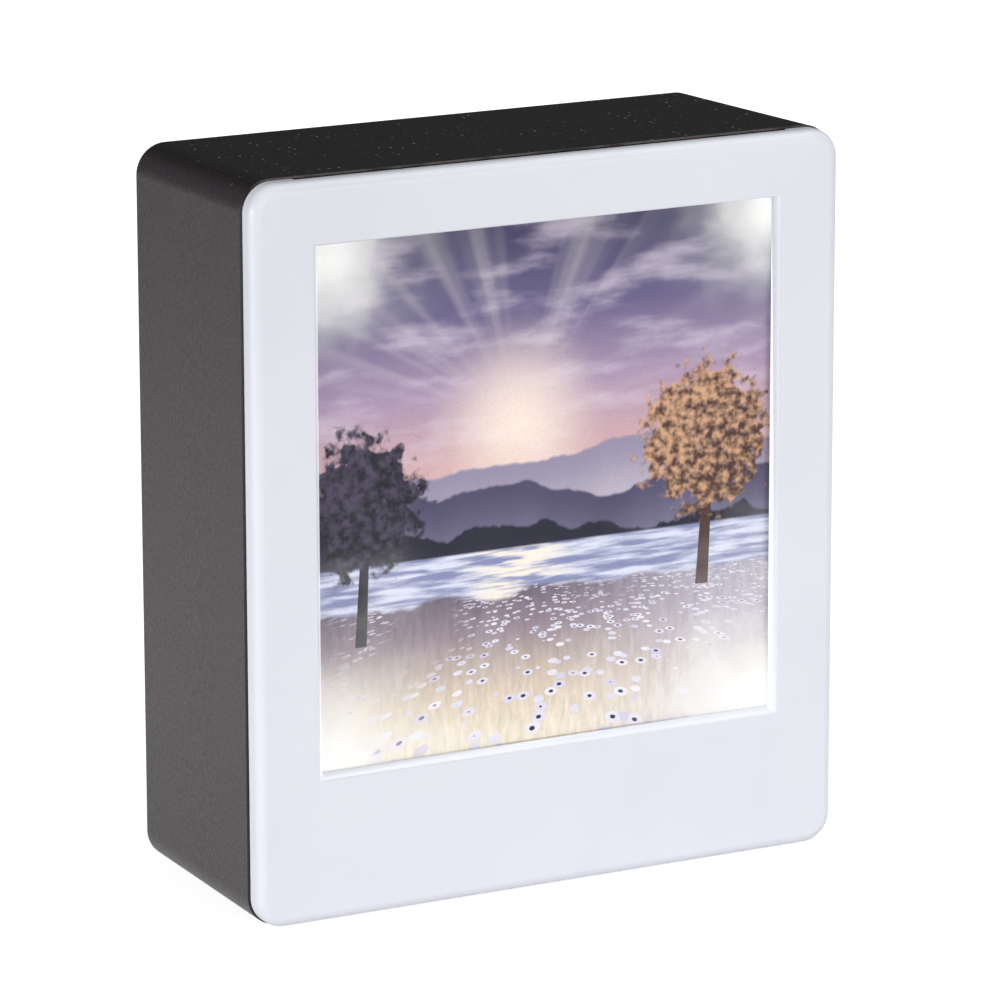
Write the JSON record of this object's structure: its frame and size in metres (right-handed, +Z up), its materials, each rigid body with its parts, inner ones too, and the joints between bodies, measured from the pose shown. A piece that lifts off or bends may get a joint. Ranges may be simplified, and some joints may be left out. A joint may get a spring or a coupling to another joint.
{
  "type": "led photo frame",
  "caption": "Free-standing battery light-box photo frame with a deep case, a white bezel, a backlit print that slides in from the top, a rear battery bay with a latched door and a slide switch.",
  "frame": {"origin": "middle of the flat base, at the bottom centre of the overall box", "axes": "+Z up, +X to the viewer's right, -Y towards the viewer (the picture faces -Y)"},
  "size_m": [0.125, 0.053, 0.1425],
  "materials": {
    "case_black": "fine satin texture",
    "bezel_white": "satin gloss",
    "clear_sheet": "clear",
    "print_paper": "printed film",
    "opal_sheet": "opal",
    "tray_white": "matt",
    "board_white": "solder mask",
    "lamp_lens": "lens",
    "chip_black": "glazed",
    "plated_steel": "bright nickel plate",
    "cell_sleeve": "printed sleeve",
    "wire_red": "soft sleeve",
    "wire_black": "soft sleeve"
  },
  "bodies": {
    "frame": {"rear_case": "case_black", "front_bezel": "bezel_white", "clear_window": "clear_sheet", "diffuser_panel": "opal_sheet", "light_tray": "tray_white", "led_board_left": "board_white", "led_board_right": "board_white", "led_top_left": "lamp_lens", "led_top_right": "lamp_lens", "led_bottom_left": "lamp_lens", "led_bottom_right": "lamp_lens", "resistor_left": "chip_black", "resistor_right": "chip_black", "wire_cell_to_switch": "wire_red", "wire_switch_to_board": "wire_red", "wire_link_positive": "wire_red", "wire_cell_to_board": "wire_black", "wire_link_negative": "wire_black", "contact_negative": "plated_steel", "contact_positive": "plated_steel", "contact_bridge_1": "plated_steel", "contact_bridge_2": "plated_steel", "contact_spring_1": "plated_steel", "contact_spring_2": "plated_steel", "contact_spring_3": "plated_steel", "aa_cell_1": "cell_sleeve", "aa_cell_2": "cell_sleeve", "aa_cell_3": "cell_sleeve", "switch_body": "plated_steel", "switch_screw_left": "plated_steel", "switch_screw_right": "plated_steel", "case_screw_bottom_left": "plated_steel", "case_screw_bottom_right": "plated_steel", "case_screw_top_left": "plated_steel", "case_screw_top_right": "plated_steel", "tray_screw_bottom_left": "plated_steel", "tray_screw_bottom_right": "plated_steel", "tray_screw_top_left": "plated_steel", "tray_screw_top_right": "plated_steel"},
    "print": {"photo_print": "print_paper"},
    "door": {"battery_door": "case_black"},
    "slider": {"switch_slider": "case_black"}
  },
  "joints": [
    {"name": "print_slide", "type": "slide", "parent": "frame", "child": "print", "axis": [0, 0, 1], "range_m": [0, 0.115]},
    {"name": "door_hinge", "type": "hinge", "parent": "frame", "child": "door", "pos_m": [0, 0.0265, 0.0143], "axis": [-1, 0, 0], "range_deg": [0, 75]},
    {"name": "switch_slide", "type": "slide", "parent": "frame", "child": "slider", "axis": [-1, 0, 0], "range_m": [0, 0.0036]}
  ]
}
